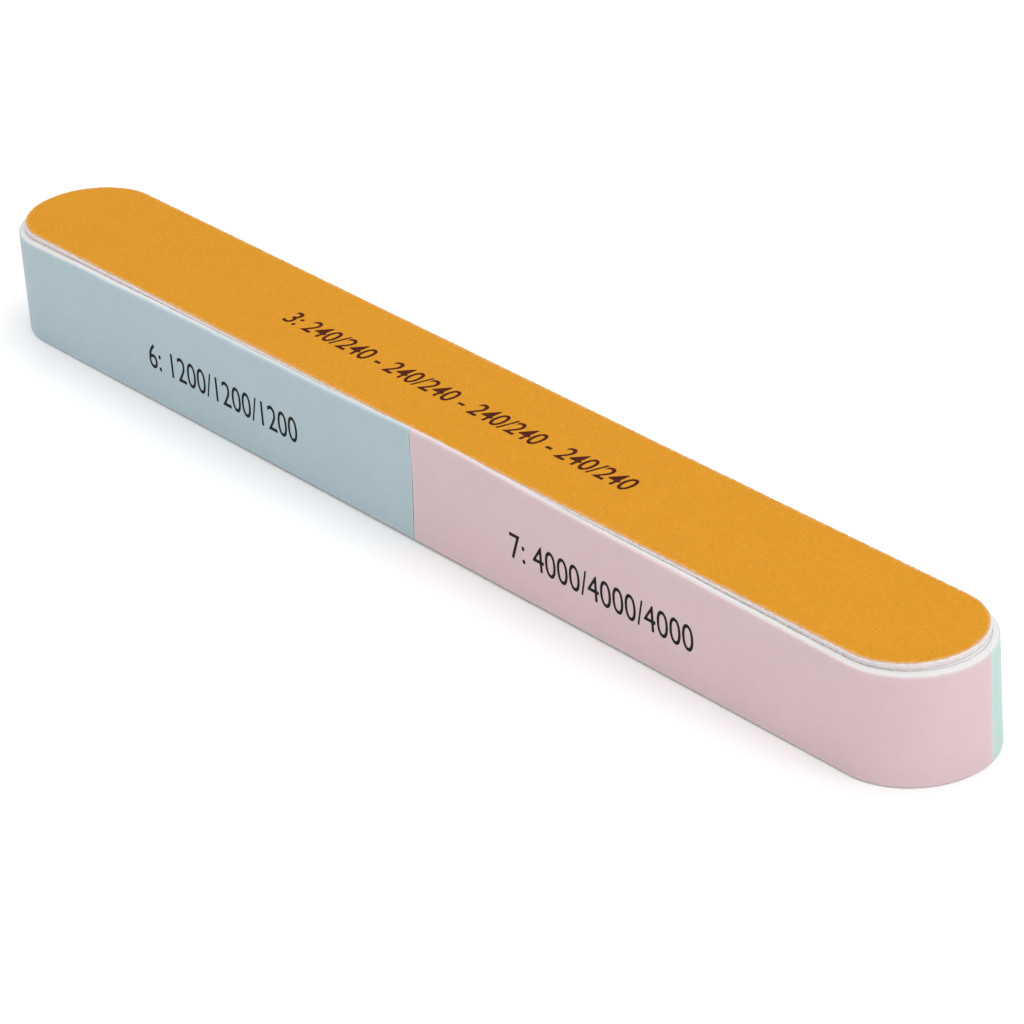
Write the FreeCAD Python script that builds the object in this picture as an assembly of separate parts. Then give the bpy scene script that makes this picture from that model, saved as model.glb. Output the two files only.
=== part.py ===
import FreeCAD, Part
import math
import os

# Nail buffer block: a stadium-ended foam plank faced with abrasive paper on
# its two broad sides and wrapped round its edge with four cushioned strips.
# Millimetres. X runs along the block, -Y is the front edge, Z is up, and the
# origin is on the underside at the middle of the block.

# Overall size
LENGTH = 178.0
WIDTH = 20.0
HEIGHT = 15.3

# Faced sheets on the broad sides, from the core outwards
GLUE = 0.05
PAPER = 0.32
GRIT = 0.15
SHEET = GLUE + PAPER + GRIT
SHEET_INSET = 0.08          # the sheets are die-cut a little inside the core
FACE_SEAM = 0.30            # gap between the two half-length bottom sheets

# Wrapped strips round the edge, from the core outwards
CUSHION = 0.77
FILM = 0.10
STRIP = GLUE + CUSHION + FILM
STRIP_LOW_MIDDLE = 0.35     # lower edge of the strips half way along the block
STRIP_LOW_END = 0.05        # the lower edge sags a little towards the two ends
STRIP_TOP_MIDDLE = 15.20    # upper edge half way along the front
STRIP_TOP_END = 14.05       # the upper edge dips towards the two ends
BACK_TRIM = 0.5             # the upper edge is trimmed this much lower at the back
EDGE_SEAM = 0.14            # gap where two strips meet

# Where the strips meet: two seams on the straights, two on the round ends
FRONT_SEAM_X = 2.0
BACK_SEAM_X = -3.0
NEAR_SEAM_DEG = 19.5        # past the +X apex, towards the back
FAR_SEAM_DEG = 176.0        # just short of the -X apex, towards the front

REACH = 40.0                # half width of the plan areas used to cut strips
END_X = (LENGTH - WIDTH) / 2  # centres of the two round ends


def save(node, shape):
    """Write one node as its own STEP file."""
    solids = shape.Solids
    assert len(solids) == 1 and solids[0].isValid(), node
    solids[0].exportStep("parts/%s.step" % node)


def stadium(inset, z_low, z_high):
    """Stadium-shaped slab, drawn in from the block's outline by inset."""
    radius = WIDTH / 2 - inset
    corners = [FreeCAD.Vector(x, y, z_low) for x, y in
               ((-END_X, -radius), (END_X, -radius), (END_X, radius), (-END_X, radius))]
    near = FreeCAD.Vector(END_X + radius, 0, z_low)
    far = FreeCAD.Vector(-END_X - radius, 0, z_low)
    wire = Part.Wire([
        Part.makeLine(corners[0], corners[1]),
        Part.Arc(corners[1], near, corners[2]).toShape(),
        Part.makeLine(corners[2], corners[3]),
        Part.Arc(corners[3], far, corners[0]).toShape(),
    ])
    return Part.Face(wire).extrude(FreeCAD.Vector(0, 0, z_high - z_low))


def plan_prism(points):
    """Prism over a plan polygon, taller than the block."""
    ring = [FreeCAD.Vector(x, y, -HEIGHT) for x, y in points]
    face = Part.Face(Part.makePolygon(ring + ring[:1]))
    return face.extrude(FreeCAD.Vector(0, 0, 3 * HEIGHT))


def ray_end(centre_x, degrees):
    """Plan point where a ray from a round end's centre leaves the work area."""
    angle = math.radians(degrees)
    return (centre_x + REACH * math.cos(angle), REACH * math.sin(angle))


def seam_slot(x, degrees):
    """Thin upright slot along a ray, cut out wherever two strips meet."""
    slot = Part.makeBox(REACH, EDGE_SEAM, 3 * HEIGHT,
                        FreeCAD.Vector(0, -EDGE_SEAM / 2, -HEIGHT))
    slot.rotate(FreeCAD.Vector(0, 0, 0), FreeCAD.Vector(0, 0, 1), degrees)
    slot.translate(FreeCAD.Vector(x, 0, 0))
    return slot


def beyond_arc(z_middle, z_end, fall, away):
    """Everything above or below one long shallow arc, which falls towards the back."""
    reach_x = LENGTH / 2 + REACH
    slope = fall / WIDTH
    y_start = -REACH
    z_start = z_middle - slope * (y_start + WIDTH / 2)
    z_reach = z_start - (z_middle - z_end) * (reach_x / (LENGTH / 2)) ** 2
    left = FreeCAD.Vector(-reach_x, y_start, z_reach)
    right = FreeCAD.Vector(reach_x, y_start, z_reach)
    crown = FreeCAD.Vector(0, y_start, z_start)
    step = FreeCAD.Vector(0, 0, away * 2 * HEIGHT)
    wire = Part.Wire([
        Part.Arc(left, crown, right).toShape(),
        Part.makeLine(right, right + step),
        Part.makeLine(right + step, left + step),
        Part.makeLine(left + step, left),
    ])
    return Part.Face(wire).extrude(FreeCAD.Vector(0, 2 * REACH, -slope * 2 * REACH))


def core():
    """Foam plank that carries every sheet and strip."""
    return stadium(STRIP, SHEET, HEIGHT - SHEET)


def faced_sheet(area, z_start, outward):
    """Glue film, paper and grit coat, stacked away from the core."""
    layers = {}
    z = z_start
    for name, thickness in (("adhesive", GLUE), ("paper", PAPER), ("grit", GRIT)):
        z_next = z + outward * thickness
        slab = stadium(STRIP + SHEET_INSET, min(z, z_next), max(z, z_next))
        layers[name] = slab.common(area) if area else slab
        z = z_next
    return layers


def half_plan(x_from, x_to):
    """Plan area between two stations along the block."""
    return plan_prism([(x_from, -REACH), (x_to, -REACH), (x_to, REACH), (x_from, REACH)])


def edge_strip(area, cutters):
    """Glue film, foam cushion and buffing film, wrapped outwards from the core."""
    layers = {}
    inset = STRIP
    for name, thickness in (("adhesive", GLUE), ("cushion", CUSHION), ("film", FILM)):
        outer = stadium(inset - thickness, 0, HEIGHT)
        ring = outer.cut(stadium(inset, -HEIGHT, 2 * HEIGHT))
        strip = ring.common(area)
        for cutter in cutters:
            strip = strip.cut(cutter)
        layers[name] = strip
        inset -= thickness
    return layers


def strip_areas():
    """Plan area of each edge strip, bounded by its two seams."""
    near = ray_end(END_X, NEAR_SEAM_DEG)
    far = ray_end(-END_X, -FAR_SEAM_DEG)
    east, west = LENGTH, -LENGTH
    return {
        "side_6": [(FRONT_SEAM_X, 0), (-END_X, 0), far, (west, far[1]), (west, -REACH),
                   (FRONT_SEAM_X, -REACH)],
        "side_7": [(FRONT_SEAM_X, 0), (FRONT_SEAM_X, -REACH), (east, -REACH),
                   (east, near[1]), near, (END_X, 0)],
        "side_4": [(BACK_SEAM_X, 0), (END_X, 0), near, (east, near[1]), (east, REACH),
                   (BACK_SEAM_X, REACH)],
        "side_5": [(BACK_SEAM_X, 0), (BACK_SEAM_X, REACH), (west, REACH),
                   (west, far[1]), far, (-END_X, 0)],
    }


def build():
    """Every node of the block, by name."""
    nodes = {"foam_core": core()}

    half_gap = FACE_SEAM / 2
    sheets = {
        "side_1": (half_plan(half_gap, LENGTH), SHEET, -1),
        "side_2": (half_plan(-LENGTH, -half_gap), SHEET, -1),
        "side_3": (None, HEIGHT - SHEET, 1),
    }
    for side, (area, z_start, outward) in sheets.items():
        for layer, shape in faced_sheet(area, z_start, outward).items():
            nodes["%s_%s" % (side, layer)] = shape

    cutters = [seam_slot(FRONT_SEAM_X, -90), seam_slot(BACK_SEAM_X, 90),
               seam_slot(END_X, NEAR_SEAM_DEG), seam_slot(-END_X, -FAR_SEAM_DEG),
               beyond_arc(STRIP_TOP_MIDDLE, STRIP_TOP_END, BACK_TRIM, 1),
               beyond_arc(STRIP_LOW_MIDDLE, STRIP_LOW_END, 0, -1)]
    for side, points in strip_areas().items():
        for layer, shape in edge_strip(plan_prism(points), cutters).items():
            nodes["%s_%s" % (side, layer)] = shape
    return nodes


os.makedirs("parts", exist_ok=True)
for node_name, node_shape in build().items():
    save(node_name, node_shape)
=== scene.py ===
import math
import random

import bpy
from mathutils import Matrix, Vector, geometry, noise
from mathutils.bvhtree import BVHTree


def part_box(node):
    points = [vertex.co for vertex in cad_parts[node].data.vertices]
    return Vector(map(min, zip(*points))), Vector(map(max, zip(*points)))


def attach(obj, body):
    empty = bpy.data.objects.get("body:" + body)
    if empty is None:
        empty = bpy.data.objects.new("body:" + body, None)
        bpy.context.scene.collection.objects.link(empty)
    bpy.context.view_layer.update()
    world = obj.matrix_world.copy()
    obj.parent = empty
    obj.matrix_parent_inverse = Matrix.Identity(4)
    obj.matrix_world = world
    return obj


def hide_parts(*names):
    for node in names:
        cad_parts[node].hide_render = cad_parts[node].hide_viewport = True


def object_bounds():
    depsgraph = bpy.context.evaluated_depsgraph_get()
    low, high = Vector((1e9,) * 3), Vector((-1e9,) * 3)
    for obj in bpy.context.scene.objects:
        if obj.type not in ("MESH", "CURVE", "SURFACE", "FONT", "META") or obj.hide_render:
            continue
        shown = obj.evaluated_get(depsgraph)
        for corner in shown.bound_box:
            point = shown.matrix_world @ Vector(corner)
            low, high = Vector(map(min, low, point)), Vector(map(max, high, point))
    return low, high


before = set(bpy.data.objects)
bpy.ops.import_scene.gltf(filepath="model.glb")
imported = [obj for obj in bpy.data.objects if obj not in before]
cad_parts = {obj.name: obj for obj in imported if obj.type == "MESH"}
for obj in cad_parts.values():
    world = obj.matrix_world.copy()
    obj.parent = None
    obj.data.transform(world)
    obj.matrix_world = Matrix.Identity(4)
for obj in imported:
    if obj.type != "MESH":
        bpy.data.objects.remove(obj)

cad_low, cad_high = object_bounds()

# ---- Camera -----------------------------------------------------------------------
# A long lens looks down over the near end, with the block running away to the left. From
# about half a metre, the far end looks a fifth smaller than the near one.
CAMERA_PLACE = (0.41876, -0.30763, 0.27417)  # metres
CAMERA_TURN = (1.0829, 0.0693, 0.8908)       # radians
LENS = 168.42                                # millimetres, on the default sensor
camera = bpy.data.objects.new("camera", bpy.data.cameras.new("camera"))
camera.location = CAMERA_PLACE
camera.rotation_euler = CAMERA_TURN
camera.data.lens = LENS
bpy.context.scene.collection.objects.link(camera)
bpy.context.scene.camera = camera

# ---- Foam core ---------------------------------------------------------------------
# A plank of stiff white EVA foam, die-cut to a stadium outline. Its cut wall shows above
# the edge strips near the two ends, and its closed cells give that wall a fine tooth.
MM = 0.001                                             # a millimetre, in metres
RADIUS = (cad_high.y - cad_low.y) / 2 / MM             # round ends of the whole block
STRAIGHT = (cad_high.x - cad_low.x) / 2 / MM - RADIUS  # half of the straight length
BEND = math.pi * RADIUS                                # run round one end
ROUND = 4 * STRAIGHT + 2 * BEND                        # run all the way round


def outline(run, inset):
    """Plan point and outward normal, at a run round the block from the middle of the front."""
    run %= ROUND
    reach = RADIUS - inset
    if run < STRAIGHT or run >= ROUND - STRAIGHT:
        x = run if run < STRAIGHT else run - ROUND
        return Vector((x, -reach)), Vector((0, -1))
    if STRAIGHT + BEND <= run < 3 * STRAIGHT + BEND:
        return Vector((2 * STRAIGHT + BEND - run, reach)), Vector((0, 1))
    near = run < STRAIGHT + BEND
    start = STRAIGHT if near else 3 * STRAIGHT + BEND
    angle = (run - start) / RADIUS + (-math.pi / 2 if near else math.pi / 2)
    normal = Vector((math.cos(angle), math.sin(angle)))
    return Vector((STRAIGHT if near else -STRAIGHT, 0)) + reach * normal, normal


def spaced(start, stop, step):
    """Evenly spaced numbers from start to stop, about a step apart, both ends included."""
    count = max(1, math.ceil(abs(stop - start) / step))
    return [start + (stop - start) * i / count for i in range(count + 1)]


def wobble(point, size):
    """Smooth unevenness between about -1 and 1, with lumps of the given size."""
    return noise.noise(Vector(point) / size)


def piece(name, points, faces, finish, slot, smooth=True):
    """One visible piece of the block, from points in millimetres, riding on its body."""
    mesh = bpy.data.meshes.new(name)
    mesh.from_pydata([Vector(p) * MM for p in points], [], faces)
    mesh.validate()
    if smooth:
        mesh.shade_smooth()
    else:
        mesh.shade_flat()
    mesh.materials.append(finish)
    made = bpy.data.objects.new(name, mesh)
    bpy.context.scene.collection.objects.link(made)
    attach(made, "root")
    return made


def stacked(loops):
    """Points and faces of a closed skin over closed loops of equal count, capped at both ends."""
    count = len(loops[0])
    points = [p for loop in loops for p in loop]
    faces = [(row * count + i, row * count + (i + 1) % count,
              (row + 1) * count + (i + 1) % count, (row + 1) * count + i)
             for row in range(len(loops) - 1) for i in range(count)]
    last = (len(loops) - 1) * count
    return points, faces + [tuple(reversed(range(count))), tuple(range(last, last + count))]


def paint(red, green, blue):
    """Screen colour from 0 to 255 as the linear colour that shaders use."""
    return tuple(((c / 255 + 0.055) / 1.055) ** 2.4 for c in (red, green, blue)) + (1.0,)


class Finish:
    """A socket in one material's node tree. Arithmetic on it adds Math nodes."""

    def __init__(self, tree, socket=None):
        self.tree = tree
        self.socket = socket

    def node(self, kind, settings=None, sockets=None, out=0):
        made = self.tree.nodes.new("ShaderNode" + kind)
        for key, value in (settings or {}).items():
            setattr(made, key, value)
        for key, value in (sockets or {}).items():
            if isinstance(value, Finish):
                self.tree.links.new(value.socket, made.inputs[key])
            else:
                made.inputs[key].default_value = value
        return Finish(self.tree, made.outputs[out] if made.outputs else None)

    def maths(self, operation, first, second):
        return self.node("Math", {"operation": operation}, {0: first, 1: second})

    def __add__(self, other):
        return self.maths("ADD", self, other)

    def __sub__(self, other):
        return self.maths("SUBTRACT", self, other)

    def __rsub__(self, other):
        return self.maths("SUBTRACT", other, self)

    def __mul__(self, other):
        return self.maths("MULTIPLY", self, other)

    def __gt__(self, other):
        return self.maths("GREATER_THAN", self, other)

    __radd__, __rmul__ = __add__, __mul__

    def held(self):
        """Clamped between 0 and 1."""
        return self.node("Clamp", None, {"Value": self})

    def mix(self, first, second):
        """Colour from first to second, by this value."""
        return self.node("Mix", {"data_type": "RGBA"}, {0: self, 6: first, 7: second}, out=2)

    def lumps(self, size, detail=2.0, rough=0.5):
        """Soft noise from 0 to 1 with lumps of the given size, on these coordinates."""
        return self.node("TexNoise", None, {"Vector": self, "Scale": 1 / (size * MM),
                                            "Detail": detail, "Roughness": rough})

    def cells(self, size, feature="F1", out=0):
        """Cell pattern with cells of the given size, on these coordinates."""
        return self.node("TexVoronoi", {"feature": feature},
                         {"Vector": self, "Scale": 1 / (size * MM)}, out=out)

    def channel(self, name):
        """One channel of a colour."""
        return self.node("SeparateColor", None, {"Color": self}, out=name)

    def relief(self, depth, strength):
        """Normal bumped by this height, with its full depth in millimetres."""
        return self.node("Bump", None, {"Height": self, "Strength": strength,
                                        "Distance": depth * MM})


def new_finish(name):
    """An empty material, and the coordinates that its pattern is laid out on."""
    material = bpy.data.materials.new(name)
    material.use_nodes = True
    material.node_tree.nodes.clear()
    start = Finish(material.node_tree)
    return material, start.node("TexCoord", out="Object")


def surface(place, **sockets):
    """Ends a finish with its surface shader; underscores in socket names are spaces."""
    named = {key.replace("_", " "): value for key, value in sockets.items()}
    shader = place.node("BsdfPrincipled", None, named)
    place.node("OutputMaterial", None, {"Surface": shader})


def foam_finish(name, light, dark):
    """White closed-cell foam, matt, with fine open cells on its cut faces; painted shade darkens the
    hollows between the cells.
    """
    material, place = new_finish(name)
    cell = place.cells(0.22, "DISTANCE_TO_EDGE")
    tone = place.lumps(5.0) * 0.6 + place.lumps(0.35) * 0.4
    # Painted shade: the hollows between the cells, low in the bump, are painted darker.
    pit_shade = (1 - cell * 2.2).held()
    surface(place,
            Base_Color=(tone * 0.7 + pit_shade * 0.2).held().mix(light, dark),
            Roughness=0.78 + tone * 0.15,
            Normal=(cell + place.lumps(0.12) * 0.3).relief(0.05, 0.5))
    return material


# Painted light: the core's foam is painted lighter than the ribbons' foam, to make up for the shade
# that falls on its wall between the sheets and the strips.
plank_foam_painted_lighter = foam_finish("plank_foam_painted_lighter", paint(238, 237, 238), paint(221, 220, 221))
core_low, core_high = (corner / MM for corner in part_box("foam_core"))
STRIP = RADIUS - core_high.y                # full thickness of a wrapped strip
CORE_STEP = 0.5                             # distance between points round the core
CORE_TOOTH = 0.015                          # depth of the tooth on its wall, twice at the top
WALL_SHOWN = 2.4                            # the part of the wall that can show, ...
WALL_STEP = 0.3                             # ... and the height of its rows


def core_loop(z, tooth):
    """The core's outline at one height, with a little tooth on its cut wall."""
    loop = []
    for run in spaced(0, ROUND, CORE_STEP)[:-1]:
        spot, normal = outline(run, STRIP)
        spot = spot - normal * tooth * (1 + wobble((spot.x, spot.y, z), CORE_STEP))
        loop.append((spot.x, spot.y, z))
    return loop


core_levels = [core_low.z] + spaced(core_high.z - WALL_SHOWN, core_high.z, WALL_STEP)
core_skin = stacked([core_loop(z, CORE_TOOTH if z < core_high.z else CORE_TOOTH * 2)
                     for z in core_levels])
core = piece("core_plank", *core_skin, plank_foam_painted_lighter, "white_foam")
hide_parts("foam_core")

# ---- Glue films --------------------------------------------------------------------
# Thin double-sided tape under every sheet and strip holds the block together. Only its
# milky edge shows, so the plain thin CAD solids stay and take this finish.
tape_low, tape_high = (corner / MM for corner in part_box("side_3_adhesive"))
GLUE = tape_high.z - tape_low.z             # thickness of the tape


def glue_finish():
    """Milky pressure-sensitive glue with dust caught in its edge."""
    material, place = new_finish("glue_film")
    dust = place.lumps(0.4, 3.0)
    surface(place,
            Base_Color=dust.mix(paint(238, 236, 230), paint(205, 201, 192)),
            Roughness=0.35 + dust * 0.3,
            Normal=dust.relief(0.01, 0.4))
    return material


glue = glue_finish()
for name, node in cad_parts.items():
    if name.endswith("_adhesive"):
        node.data.materials.clear()
        node.data.materials.append(glue)

# ---- Paper backings ----------------------------------------------------------------
# Each abrasive face is a die-cut sheet of heavy paper. The cutter leaves a furry, torn
# rim of pale fibres, which stands out a little beyond the grit coat on top of it.
SHEETS = {                                  # sign of x on the half it covers, 0 for both, and grit
    "side_1": (1, "coarse_grit"),
    "side_2": (-1, "medium_grit"),
    "side_3": (0, "fine_grit"),
}


def sheet_runs(half, seam_x, step):
    """Plan stations round a sheet: all the way round, or round one end and across its seam."""
    if not half:
        return [(run, None) for run in spaced(0, ROUND, step)[:-1]]
    start = seam_x if half > 0 else ROUND / 2 + seam_x
    stations = [(run, None) for run in spaced(start, start + ROUND / 2 - 2 * seam_x, step)]
    return stations + [(half * seam_x, part) for part in spaced(1, -1, step / RADIUS)[1:-1]]


def sheet_loop(half, seam_x, step, inset, ragged, z, seed, lump=0.4, droop=0.0):
    """Outline of a sheet at one height, with a rim that wanders in and out by ragged.

    The rim can droop by a given amount at the two ends of the block."""
    loop = []
    for run, part in sheet_runs(half, seam_x, step):
        if part is None:
            spot, normal = outline(run, inset)
        else:
            spot = Vector((run, half * part * (RADIUS - inset)))
            normal = Vector((-half, 0))
        fray = wobble((spot.x, spot.y, seed), lump) + 0.6 * wobble((spot.x, spot.y, seed), lump / 3)
        spot = spot + normal * ragged * fray
        loop.append((spot.x, spot.y, z - droop * (spot.x / (STRAIGHT + RADIUS)) ** 2))
    return loop


def paper_finish():
    """Uncoated backing paper, off-white with a cool pink cast, and fibrous at its rim."""
    material, place = new_finish("backing_paper")
    fibre = place.lumps(0.14, 4.0, 0.7)
    dirt = place.lumps(1.6, 3.0)
    surface(place,
            Base_Color=(fibre * 1.1 - 0.15 + dirt * 0.2).held().mix(
                paint(234, 226, 224), paint(206, 197, 197)),
            Roughness=0.85 + fibre * 0.1,
            Normal=fibre.relief(0.05, 0.7))
    return material


backing_paper = paper_finish()
PAPER_STEP = 0.18                           # distance between points round the paper's rim
PAPER_ROW = 0.08                            # height of its rows
PAPER_FRAY = 0.08                           # the rim wanders this much
PAPER_SPREAD = 0.12                         # and the crushed rim bulges out this much
SPREAD_FROM = 0.16                          # from this far off the coat, and less beside it
FRINGE = 0.4                                # fibres hang this far over the core at the ends
for side, (half, _) in SHEETS.items():
    paper_low, paper_high = (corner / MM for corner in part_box(side + "_paper"))
    seam_x = min(abs(paper_low.x), abs(paper_high.x)) if half else 0
    inset = RADIUS - paper_high.y
    coat_z = paper_low.z if half else paper_high.z
    loops = []
    for row, z in enumerate(spaced(paper_low.z, paper_high.z, PAPER_ROW)):
        spread = PAPER_SPREAD * min(1.0, abs(z - coat_z) / SPREAD_FROM)
        loops.append(sheet_loop(half, seam_x, PAPER_STEP, inset - spread, PAPER_FRAY, z,
                                seed=3.0 * row))
    if not half:
        loops.insert(0, sheet_loop(half, seam_x, PAPER_STEP, inset - PAPER_SPREAD, PAPER_FRAY,
                                   paper_low.z, seed=30.0, droop=FRINGE))
    paper = piece(side + "_backing", *stacked(loops), backing_paper, "backing_paper")
    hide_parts(side + "_paper")

# ---- Grit coats --------------------------------------------------------------------
# Mineral grains set in coloured resin on the paper: coarse charcoal and medium grey
# underneath, fine orange on top. The face is a skin of small tilted facets, and its rim
# is a little worn, because the die crushed it and paper shows through.
FACETS = {                                  # spacing of the facets' corners, and their depth
    "coarse_grit": (0.55, 0.08),
    "medium_grit": (0.45, 0.05),
    "fine_grit": (0.36, 0.014),
}


def grit_finish(name, resin, deep, painted_glint, size, glint):
    """Resin-bound grains: each has its own tone, a few shine and carry a painted glint, and the worn
    rim shows paper.
    """
    material, place = new_finish(name)
    grain = place.cells(size, out="Color")
    tone = grain.channel("Red")
    bright = grain.channel("Green") > glint
    haze = place.lumps(7.0, 3.0) * 0.5 + place.lumps(1.1, 3.0) * 0.5
    worn = place.node("Attribute", {"attribute_name": "worn"}, out="Fac")
    body = (tone * 0.75 + haze * 0.5 - 0.2).held().mix(resin, deep)
    # Painted highlight: a few grains are painted lighter as a glint, besides their lower roughness.
    body = (bright * 0.6).mix(body, painted_glint)
    surface(place,
            Base_Color=worn.mix(body, paint(232, 216, 208)),
            Roughness=(0.85 - bright * 0.25 - tone * 0.1).held(),
            Specular_IOR_Level=0.2,
            Normal=(1 - place.cells(size)).relief(size * 0.3, 0.4))
    return material


GRITS = {
    "coarse_grit": grit_finish("coarse_grit", paint(74, 72, 72), paint(38, 37, 37),
                               paint(170, 168, 164), 0.24, 0.96),
    "medium_grit": grit_finish("medium_grit", paint(158, 162, 168), paint(118, 121, 127),
                               paint(226, 226, 226), 0.19, 0.96),
    "fine_grit": grit_finish("fine_grit", paint(209, 144, 27), paint(192, 127, 15),
                             paint(220, 164, 58), 0.15, 0.99),
}


def inside_sheet(x, y, half, seam_x, inset, margin):
    """True where a plan point lies on a sheet, at least a margin in from its rim."""
    if half and half * x < seam_x + margin:
        return False
    past_end = max(0.0, abs(x) - STRAIGHT)
    return math.hypot(past_end, y) < RADIUS - inset - margin


ROW_PITCH = 0.87                            # rows of facets, as a share of their spacing
JITTER = 0.3                                # shift of a facet's corner, the same way
RIM_CLEAR = 0.6                             # least distance from the rim, the same way


def grit_face(rim, half, seam_x, inset, spacing, seed):
    """Triangles over a sheet's face, between its rim and jittered grains inside it."""
    draw = random.Random(seed)
    spots = [Vector(p[:2]) for p in rim]
    for row, y in enumerate(spaced(-RADIUS, RADIUS, spacing * ROW_PITCH)):
        for x in spaced(-STRAIGHT - RADIUS, STRAIGHT + RADIUS, spacing):
            shift_x = (row % 2) / 2 + draw.uniform(-JITTER, JITTER)
            shift_y = draw.uniform(-JITTER, JITTER)
            spot = Vector((x + shift_x * spacing, y + shift_y * spacing))
            if inside_sheet(spot.x, spot.y, half, seam_x, inset, spacing * RIM_CLEAR):
                spots.append(spot)
    edges = [(i, (i + 1) % len(rim)) for i in range(len(rim))]
    flat, _, faces, origin, _, _ = geometry.delaunay_2d_cdt(spots, edges, [], 1, 1e-5)
    assert len(flat) == len(spots) and all(origin[i][0] == i for i in range(len(spots)))
    return flat, faces


RIM_STEP = 0.2                              # distance between points round the coat's rim
GRIT_FRAY = 0.09                            # the rim wanders this much
GRIT_LUMP = 0.3                             # in bays of this size
GRIT_SETBACK = 0.06                         # the die crushes the coat off the paper's rim
SEAM_SETBACK = 0.05                         # and off its edge at the bottom seam
RIM_DROP = 0.03                             # the die rounds the coat's rim this much
RIM_WORN = 0.25                             # share of paper that shows round the rim
FOOT_WORN = 0.8                             # and at the foot of the wall under it


def grit_coat(side, half, kind):
    """One grit coat: frayed wall, faceted face, and a mask of how worn its rim is."""
    low, high = (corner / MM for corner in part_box(side + "_grit"))
    outward = -1 if half else 1
    face_z, back_z = (high.z, low.z) if outward > 0 else (low.z, high.z)
    seam_x = min(abs(low.x), abs(high.x)) + SEAM_SETBACK if half else 0
    inset = RADIUS - high.y + GRIT_SETBACK
    spacing, depth = FACETS[kind]
    draw = random.Random(kind)
    rim = sheet_loop(half, seam_x, RIM_STEP, inset, GRIT_FRAY, face_z, 40.0, GRIT_LUMP)
    foot = sheet_loop(half, seam_x, RIM_STEP, inset, GRIT_FRAY, back_z, 44.0, GRIT_LUMP)
    flat, faces = grit_face(rim, half, seam_x, inset, spacing, kind)
    count = len(rim)
    points = []
    worn = []
    for i, spot in enumerate(flat):
        on_rim = i < count
        sunk = draw.uniform(0, depth) + (RIM_DROP if on_rim else 0)
        points.append((spot.x, spot.y, face_z - outward * sunk))
        worn.append(RIM_WORN if on_rim else 0.0)
    base = len(points)
    points += foot
    worn += [FOOT_WORN] * count
    wall = [(i, base + i, base + (i + 1) % count, (i + 1) % count) for i in range(count)]
    back = tuple(base + i for i in range(count))
    coat = piece(side + "_coat", points, [tuple(f) for f in faces] + wall + [back[::-1]],
                 GRITS[kind], kind, smooth=False)
    if outward < 0:
        coat.data.flip_normals()
    mask = coat.data.attributes.new("worn", "FLOAT", "POINT")
    mask.data.foreach_set("value", worn)
    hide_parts(side + "_grit")
    return coat


coats = {side: grit_coat(side, half, kind) for side, (half, kind) in SHEETS.items()}

# ---- Strip cushions ----------------------------------------------------------------
# Four ribbons of soft white foam, glued to the core's wall and butted end to end. They bow
# a little: level with the top in the middle of the front, over a millimetre lower at the
# two ends, and trimmed lower along the back, where the foam shows as a white line.
STRIP_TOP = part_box("side_7_film")[1].z / MM
STRIP_TRIM = 0.04                           # the upper edge is cut this much short of that
STRIP_DIP = 1.15                            # fall of the upper edge towards the ends
BACK_TRIM = 0.5                             # and towards the back
TRIM_WANDER = 0.05                          # the blade strays this much ...
TRIM_REACH = 9.0                            # ... over this distance, ...
TRIM_NICK = 0.035                           # ... with nicks this deep ...
NICK_REACH = 1.3                            # ... and this long
SWELL = 0.55                                # rise where the two front strips butt, ...
SWELL_X = 8.0                               # ... centred here
SWELL_REACH = 15.0                          # ... and this far to either side
STRIP_LOW = 0.35                            # lower edge in the middle of the block
STRIP_SAG = 0.3                             # fall of the lower edge towards the ends
FILM = 0.10                                 # thickness of the coated film
SEAMS = {                                   # run, lean over the height, gap, and jog of the cut
    "front": (2.0, 1.3, 0.15, 0.2),
    "near": (STRAIGHT + RADIUS * math.radians(90 + 19.5), 0.45, 0.03, 0.0),
    "back": (2 * STRAIGHT + BEND + 3.0, -0.4, 0.1, 0.1),
    "far": (3 * STRAIGHT + BEND + RADIUS * math.radians(94), 0.2, 0.06, 0.0),
}
JOG_Z = 12.4                                # height of the jog
JOG_HIGH = 0.35                             # half the height it takes
LEAN_REACH = 3.0                            # a leaning seam shifts the strip this far along
SEAM_WANDER = 0.1                           # the cut strays this much ...
SEAM_REACH = 2.6                            # ... over this distance, ...
SEAM_NICK = 0.03                            # ... with nicks this deep ...
SEAM_NICK_REACH = 0.5                       # ... and this long
STRIPS = {                                  # the seams each strip runs between, and its film
    "side_7": ("front", "near", "pink_film"),
    "side_4": ("near", "back", "mint_film"),
    "side_5": ("back", "far", "lilac_film"),
    "side_6": ("far", "front", "blue_grey_film"),
}
CURL = 0.5                                  # the pressed edge starts this far from the cut
TURN_LOW = 0.12                             # how far in it ends, at the lower edge,
TURN_TOP = 0.34                             # at the upper edge half way along the block,
TURN_LOST = 0.3                             # and how much less at the two ends
HOLLOW = 0.03                               # soft hollows in the face are this deep
HOLLOW_SIZE = 11.0                          # and this far across


def along(run):
    """Squared distance from the middle of the block, from 0 there to 1 at its tips."""
    return (outline(run, 0)[0].x / (STRAIGHT + RADIUS)) ** 2


def strip_top(run):
    """Height of the strips' trimmed upper edge."""
    spot, _ = outline(run, 0)
    back = (spot.y + RADIUS) / (2 * RADIUS)
    swell = SWELL * math.exp(-((spot.x - SWELL_X) / SWELL_REACH) ** 2) * (1 - back)
    trim = TRIM_WANDER * wobble((run, 0, 7), TRIM_REACH) + TRIM_NICK * wobble((run, 0, 3), NICK_REACH)
    return STRIP_TOP - STRIP_TRIM - STRIP_DIP * along(run) - BACK_TRIM * back + swell + trim


def strip_low(run):
    """Height of the strips' lower edge."""
    return STRIP_LOW - STRIP_SAG * along(run)


def curl(distance, turn):
    """How far the strip's skin turns in, at a distance from its cut edge."""
    if distance >= CURL:
        return 0.0
    return turn * (1 - math.sqrt(1 - (1 - distance / CURL) ** 2))


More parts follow.
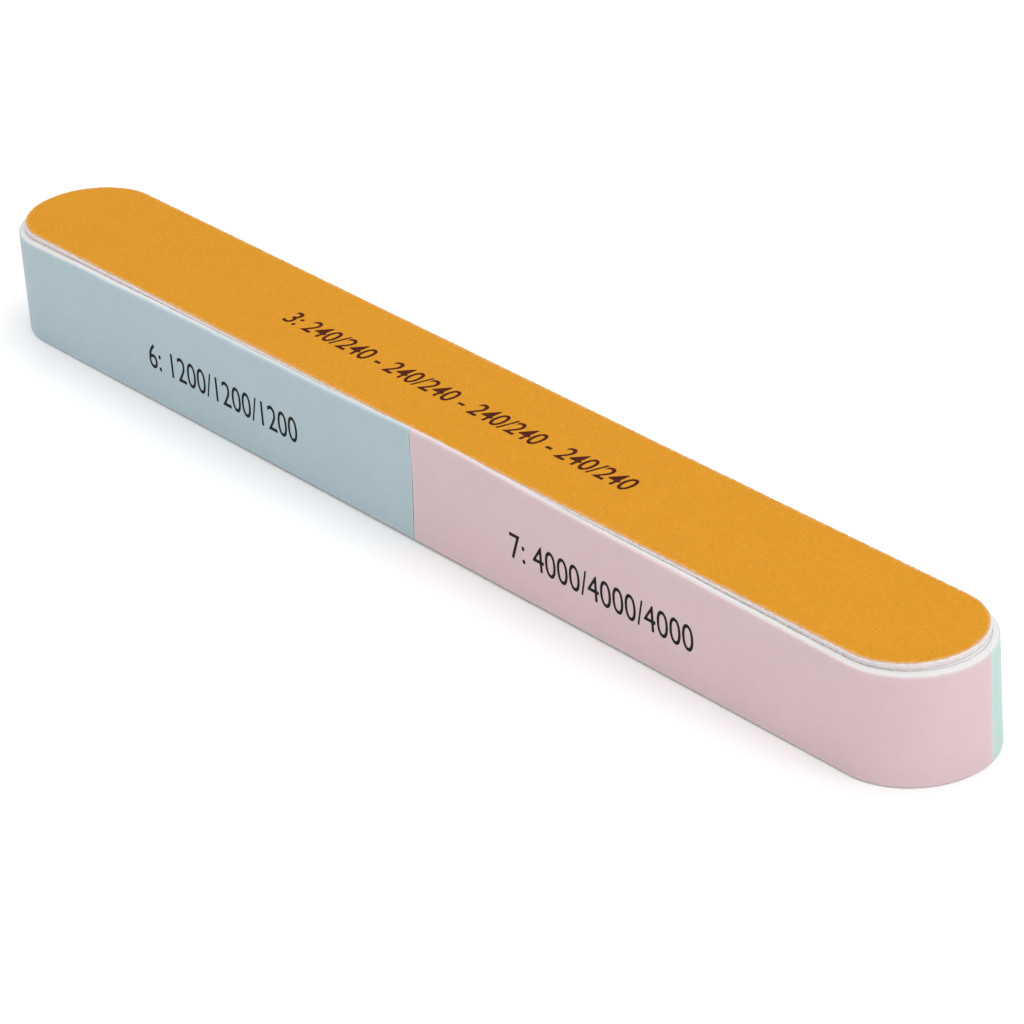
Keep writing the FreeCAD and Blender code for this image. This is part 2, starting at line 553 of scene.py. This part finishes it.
def leaning(seam, z):
    """Shift of a seam at one height, from its lean and a slightly wandering blade."""
    home, lean, _, jog = SEAMS[seam]
    straight = lean * (z / STRIP_TOP - 0.5) - jog * math.tanh((z - JOG_Z) / JOG_HIGH)
    stray = SEAM_WANDER * wobble((home, z, 2), SEAM_REACH)
    return straight + stray + SEAM_NICK * wobble((home, z, 8), SEAM_NICK_REACH)


def strip_ends(first, last):
    """Runs where a strip starts and stops, measured forward from its first seam."""
    start, stop = SEAMS[first][0], SEAMS[last][0]
    return start, stop if stop > start else stop + ROUND


def strip_point(run, first, last, inset, z):
    """Point on a strip. Close to its ends the run shifts so that the seams lean."""
    shift = 0.0
    for seam, home in zip((first, last), strip_ends(first, last)):
        shift += leaning(seam, z) * max(0.0, 1 - abs(run - home) / LEAN_REACH)
    spot, _ = outline(run + shift, inset)
    return (spot.x, spot.y, z)


EDGE_ROWS = (0, 0.04, 0.1, 0.18, 0.3, 0.5)  # rows of points near a pressed edge, from the cut
MIDDLE_ROWS = 18                            # and how many spaces there are between the edges
END_STATIONS = (0.0, 0.05, 0.12, 0.25, 0.5)  # stations near a strip's end, from the cut
STATION_STEP = 0.4                          # distance between the stations along the rest


def strip_heights(run):
    """Heights up a strip: close together at its pressed edges, wider between them."""
    low = [strip_low(run) + d for d in EDGE_ROWS]
    high = [strip_top(run) - d for d in reversed(EDGE_ROWS)]
    rise = high[0] - low[-1]
    return low + [low[-1] + rise * i / MIDDLE_ROWS for i in range(1, MIDDLE_ROWS)] + high


def skin_inset(run, z):
    """Depth of the strip's outer face below the outline: pressed edges and soft hollows."""
    spot, _ = outline(run, 0)
    turned = curl(max(0.0, z - strip_low(run)), TURN_LOW)
    turned += curl(max(0.0, strip_top(run) - z), TURN_TOP - TURN_LOST * along(run))
    return turned + HOLLOW * (1 + wobble((spot.x, spot.y, z), HOLLOW_SIZE))


def strip_stations(first, last):
    """Runs along a strip, closer together where it butts against its neighbours."""
    start, stop = strip_ends(first, last)
    start += SEAMS[first][2] / 2
    stop -= SEAMS[last][2] / 2
    *ends, rest = END_STATIONS
    middle = spaced(start + rest, stop - rest, STATION_STEP)
    return [start + d for d in ends] + middle + [stop - d for d in reversed(ends)]


ribbon_foam = foam_finish("ribbon_foam", paint(224, 223, 223), paint(206, 205, 205))
TOP_POINTS = (0.15, 0.4, 0.65, 0.9)         # points across the foam's top, from the film in
CUSHION_DOME = 0.08                         # the trimmed foam swells this much
CUT_ROUGH = 0.02                            # the cut is this rough beside the film, ...
TORN_ROUGH = 0.05                           # ... rougher by this beside the core, ...
ROUGH_SIZE = 0.35                           # ... in lumps of this size
GROOVE = 0.35                               # fall of the foam towards the core, in the middle,
LIP = 0.38                                  # and its rise against the core at the two ends
LEVEL = 1 / 3                               # its top is level here, as along() measures it
LIP_COVER = 0.9                             # share of the glue line that the lip covers
GLUE_CLEAR = 0.05                           # the lip's underside starts this far above it


def foam_fall(run):
    """Fall of the foam's top towards the core. It is a rise where it is below 0."""
    groove = GROOVE * max(0.0, 1 - along(run) / LEVEL)
    lip = LIP * max(0.0, (along(run) - LEVEL) / (1 - LEVEL))
    return groove - lip


for side, (first, last, _) in STRIPS.items():
    loops = []
    inner = STRIP - GLUE
    for run in strip_stations(first, last):
        heights = strip_heights(run)
        top = heights[-1]
        section = [(skin_inset(run, z) + FILM, z) for z in heights]
        edge = section[-1][0]
        fall = foam_fall(run)
        for part in TOP_POINTS:
            rough = (CUT_ROUGH + TORN_ROUGH * part) * wobble((run, part * 3, 1), ROUGH_SIZE)
            dome = CUSHION_DOME * math.sin(math.pi * part) - fall * part * part + rough
            section.append((edge + (inner - edge) * part, top + dome))
        over_glue = LIP_COVER * GLUE * max(0.0, -fall / LIP)
        shoulder = min(top - fall, top + 2 * GLUE_CLEAR) - GLUE_CLEAR
        section += [(inner + over_glue, top - fall), (inner, shoulder), (inner, heights[0])]
        loops.append([strip_point(run, first, last, inset, z) for inset, z in section])
    cushion = piece(side + "_foam", *stacked(loops), ribbon_foam, "white_foam")
    cushion.data.flip_normals()
    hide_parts(side + "_cushion")

# ---- Buffing films -----------------------------------------------------------------
# Each cushion carries a thin coated film: mint and lilac along the back, blue-grey and
# pink along the front. Die pressure turns its long edges in and whitens them; their pale
# colour, and that of the butted ends, is partly that whitening and partly a painted
# highlight. Where two strips butt the films leave a fine dark line.


def film_finish(name, coat, pale_and_highlight, shade):
    """Satin micro-grit film, faintly mottled, and paler at its pressed edges: partly whitened by the
    die, partly a painted highlight.
    """
    material, place = new_finish(name)
    # This mask pales the edges and ends: partly whitening from the die, partly a painted highlight.
    worn = place.node("Attribute", {"attribute_name": "pressed"}, out="Fac")
    mottle = place.lumps(9.0, 3.0) * 0.6 + place.lumps(1.4, 2.0) * 0.4
    grain = place.lumps(0.09, 3.0, 0.7)
    body = (mottle * 1.3 - 0.2 + grain * 0.25).held().mix(coat, shade)
    surface(place,
            Base_Color=(worn * 0.5).mix(body, pale_and_highlight),
            Roughness=0.46 + mottle * 0.1 + worn * 0.15,
            Normal=(grain + place.lumps(0.6) * 0.6).relief(0.012, 0.5))
    return material


FILMS = {
    "mint_film": film_finish("mint_film", paint(182, 208, 203), paint(216, 231, 227),
                             paint(170, 197, 191)),
    "lilac_film": film_finish("lilac_film", paint(197, 191, 208), paint(224, 221, 231),
                              paint(184, 177, 197)),
    "blue_grey_film": film_finish("blue_grey_film", paint(171, 190, 197), paint(211, 221, 225),
                                  paint(161, 180, 188)),
    "pink_film": film_finish("pink_film", paint(211, 187, 191), paint(232, 219, 221),
                             paint(203, 177, 181)),
}

# The pale edges and ends are partly whitening from the die and partly a painted highlight.
EDGE_FADE = 0.16                            # the pale long edges fade over this distance
BUTT_FADE = 0.2                             # and the pale ends over this one
BUTT_PALE_AND_HIGHLIGHT = 0.8                             # the ends are this pale beside the long edges
films = {}
for side, (first, last, kind) in STRIPS.items():
    start, stop = strip_ends(first, last)
    loops = []
    # How pale each point is: whitened edge and painted highlight together.
    pressed = []
    for run in strip_stations(first, last):
        heights = strip_heights(run)
        outer = [(skin_inset(run, z), z) for z in heights]
        inner = [(inset + FILM, z) for inset, z in reversed(outer)]
        loops.append([strip_point(run, first, last, inset, z) for inset, z in outer + inner])
        end_gap = min(run - start, stop - run)
        for _, z in outer + inner:
            edge = min(z - heights[0], heights[-1] - z)
            pressed.append(max(math.exp(-edge / EDGE_FADE),
                               BUTT_PALE_AND_HIGHLIGHT * math.exp(-end_gap / BUTT_FADE)))
    film = piece(side + "_skin", *stacked(loops), FILMS[kind], kind)
    film.data.flip_normals()
    mask = film.data.attributes.new("pressed", "FLOAT", "POINT")
    mask.data.foreach_set("value", pressed)
    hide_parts(side + "_film")
    films[side] = film

# ---- Printed numbers ---------------------------------------------------------------
# Every side carries a line of screen-printed numbers: its place in the order of use, then
# its grit. The ink lies on the coat, so on the abrasive sheets its edges are broken.


def ink_finish(name, ink, thin, gloss, speck):
    """Screen-printed ink, a little thinner where the surface under it is high."""
    material, place = new_finish(name)
    starved = place.lumps(speck, 3.0, 0.6)
    surface(place,
            Base_Color=(starved * 2.6 - 1.1).held().mix(ink, thin),
            Roughness=gloss + starved * 0.2,
            Specular_IOR_Level=0.05,
            Normal=starved.relief(0.01, 0.4))
    return material


film_ink = ink_finish("film_ink", paint(16, 17, 19), paint(40, 40, 44), 0.4, 0.3)
grit_ink = ink_finish("grit_ink", paint(62, 20, 14), paint(104, 48, 14), 0.6, 0.22)
pale_ink = ink_finish("pale_ink", paint(226, 224, 218), paint(168, 166, 162), 0.6, 0.25)
INK_LIFT = 0.012                            # the ink stands this far off its surface
INK_DEPTH = 0.05                            # and its hidden back lies this far under it
INK_BLOCK = 0.2                             # depth of the figures before they are laid down
INK_MESH = 0.06                             # size of the even mesh that they are made of
ABOVE_SIDE = 2.0                            # the surface is looked for from this far off
INK_BOLD = 0.01                             # on grit the ink spreads by this share of its height
INK_BREAK = 0.05                            # and its edge wanders this much,
INK_BREAK_SIZE = 0.16                       # in steps of this size
EDGE_PRINT_HIGH = 3.5                       # height of the figures on the edge strips,
EDGE_PRINT_Z = 7.0                          # of their middle,
EDGE_PRINT_X = 37.3                         # and its distance from the block's middle
FACE_PRINT_HIGH = 3.0                       # height of the figures on the two broad faces
BOTTOM_PRINT_X = 44.0                       # distance of the bottom prints from the middle
ALONG_X, ALONG_Y, UP_Z = Vector((1, 0, 0)), Vector((0, 1, 0)), Vector((0, 0, 1))
PRINTS = {                                  # words, middle, reading and up, height, width, ink
    "side_3": ("3: 240/240 - 240/240 - 240/240 - 240/240", (-0.8, -0.4, cad_high.z / MM),
               ALONG_X, ALONG_Y, FACE_PRINT_HIGH, 67.0, grit_ink),
    "side_6": ("6: 1200/1200/1200", (-EDGE_PRINT_X, -RADIUS, EDGE_PRINT_Z),
               ALONG_X, UP_Z, EDGE_PRINT_HIGH, 32.0, film_ink),
    "side_7": ("7: 4000/4000/4000", (EDGE_PRINT_X, -RADIUS, EDGE_PRINT_Z),
               ALONG_X, UP_Z, EDGE_PRINT_HIGH, 33.0, film_ink),
    "side_4": ("4: 320/320/320", (EDGE_PRINT_X, RADIUS, EDGE_PRINT_Z),
               -ALONG_X, UP_Z, EDGE_PRINT_HIGH, 28.0, film_ink),
    "side_5": ("5: 600/600/600", (-EDGE_PRINT_X, RADIUS, EDGE_PRINT_Z),
               -ALONG_X, UP_Z, EDGE_PRINT_HIGH, 28.0, film_ink),
    "side_1": ("1: 100/100 - 100/100", (BOTTOM_PRINT_X, 0, 0),
               ALONG_X, -ALONG_Y, FACE_PRINT_HIGH, 34.0, pale_ink),
    "side_2": ("2: 180/180 - 180/180", (-BOTTOM_PRINT_X, 0, 0),
               ALONG_X, -ALONG_Y, FACE_PRINT_HIGH, 34.0, grit_ink),
}


def evaluated_mesh(source):
    """A scene object's mesh with its text or modifiers worked out. The object is removed."""
    depsgraph = bpy.context.evaluated_depsgraph_get()
    mesh = bpy.data.meshes.new_from_object(source.evaluated_get(depsgraph))
    bpy.data.objects.remove(source)
    return mesh


def figures(name, words, high, wide, bold):
    """Flat blocks of figures with an even mesh, centred on the origin and cut to size."""
    curve = bpy.data.curves.new(name, "FONT")
    curve.body = words
    curve.align_x = "CENTER"
    curve.extrude = 0.5
    curve.offset = bold
    plain = bpy.data.objects.new(name, curve)
    bpy.context.scene.collection.objects.link(plain)
    blocks = evaluated_mesh(plain)
    low = Vector(min(v.co[i] for v in blocks.vertices) for i in range(3))
    size = Vector(max(v.co[i] for v in blocks.vertices) for i in range(3)) - low
    for vertex in blocks.vertices:
        share = vertex.co - low
        vertex.co = ((share.x / size.x - 0.5) * wide, (share.y / size.y - 0.5) * high,
                     (share.z / size.z - 0.5) * INK_BLOCK)
    solid = bpy.data.objects.new(name, blocks)
    bpy.context.scene.collection.objects.link(solid)
    remesh = solid.modifiers.new("even_mesh", "REMESH")
    remesh.mode = "VOXEL"
    remesh.voxel_size = INK_MESH
    return evaluated_mesh(solid)


def printed(side, words, middle, reading, up, high, wide, ink):
    """A line of print laid down on the surface of one side, which it follows closely."""
    on_grit = side in coats
    under = coats[side] if on_grit else films[side]
    broken = INK_BREAK if on_grit else 0.0
    even = figures(side + "_print", words, high, wide, INK_BOLD if on_grit else 0.0)
    out = reading.cross(up)
    ground = BVHTree.FromObject(under, bpy.context.evaluated_depsgraph_get())
    points = []
    for vertex in even.vertices:
        u, v, w = vertex.co
        u += broken * wobble((u, v, 1), INK_BREAK_SIZE)
        v += broken * wobble((u, v, 6), INK_BREAK_SIZE)
        spot = Vector(middle) + reading * u + up * v
        hit, _, _, _ = ground.ray_cast((spot + out * ABOVE_SIDE) * MM, -out)
        level = (hit / MM - spot).dot(out) if hit else 0.0
        points.append(spot + out * (level + (INK_LIFT if w > 0 else -INK_DEPTH)))
    piece(side + "_print", points, [tuple(f.vertices) for f in even.polygons], ink, None)


for side, line in PRINTS.items():
    printed(side, *line)

# ---- Table and light ---------------------------------------------------------------
# A plain white table top with a soft sheen, a broad lamp overhead, a small one off the
# near end, and an even white surround that fills the front edge.
HALF_TABLE = 2.0                            # metres, as are the lamps' places and sizes
table_corners = [(-HALF_TABLE, -HALF_TABLE, 0), (HALF_TABLE, -HALF_TABLE, 0),
                 (HALF_TABLE, HALF_TABLE, 0), (-HALF_TABLE, HALF_TABLE, 0)]
table_mesh = bpy.data.meshes.new("table_top")
table_mesh.from_pydata(table_corners, [], [(0, 1, 2, 3)])
table_top = bpy.data.objects.new("table_top", table_mesh)
bpy.context.scene.collection.objects.link(table_top)
table_paint, table_place = new_finish("table_paint")
surface(table_place, Base_Color=(0.97, 0.97, 0.97, 1.0),
        Roughness=0.5 + 0.05 * table_place.lumps(40.0), Specular_IOR_Level=0.3)
table_mesh.materials.append(table_paint)


def lamp(name, place, size, power):
    """A square soft lamp that faces the block, with its power in watts."""
    light = bpy.data.lights.new(name, "AREA")
    light.size = size
    light.energy = power
    made = bpy.data.objects.new(name, light)
    made.location = place
    made.rotation_euler = (-Vector(place)).to_track_quat("-Z", "Y").to_euler()
    bpy.context.scene.collection.objects.link(made)


lamp("overhead_lamp", (0.1, 0.05, 0.9), 1.3, 6.3)
lamp("near_end_lamp", (0.9, 0.2, 0.35), 0.5, 1.4)
surround = bpy.data.worlds.new("surround")
surround.use_nodes = True
glow = surround.node_tree.nodes["Background"]
glow.inputs["Color"].default_value = (1, 1, 1, 1)
glow.inputs["Strength"].default_value = 0.75
bpy.context.scene.world = surround
bpy.context.scene.view_settings.view_transform = "Standard"
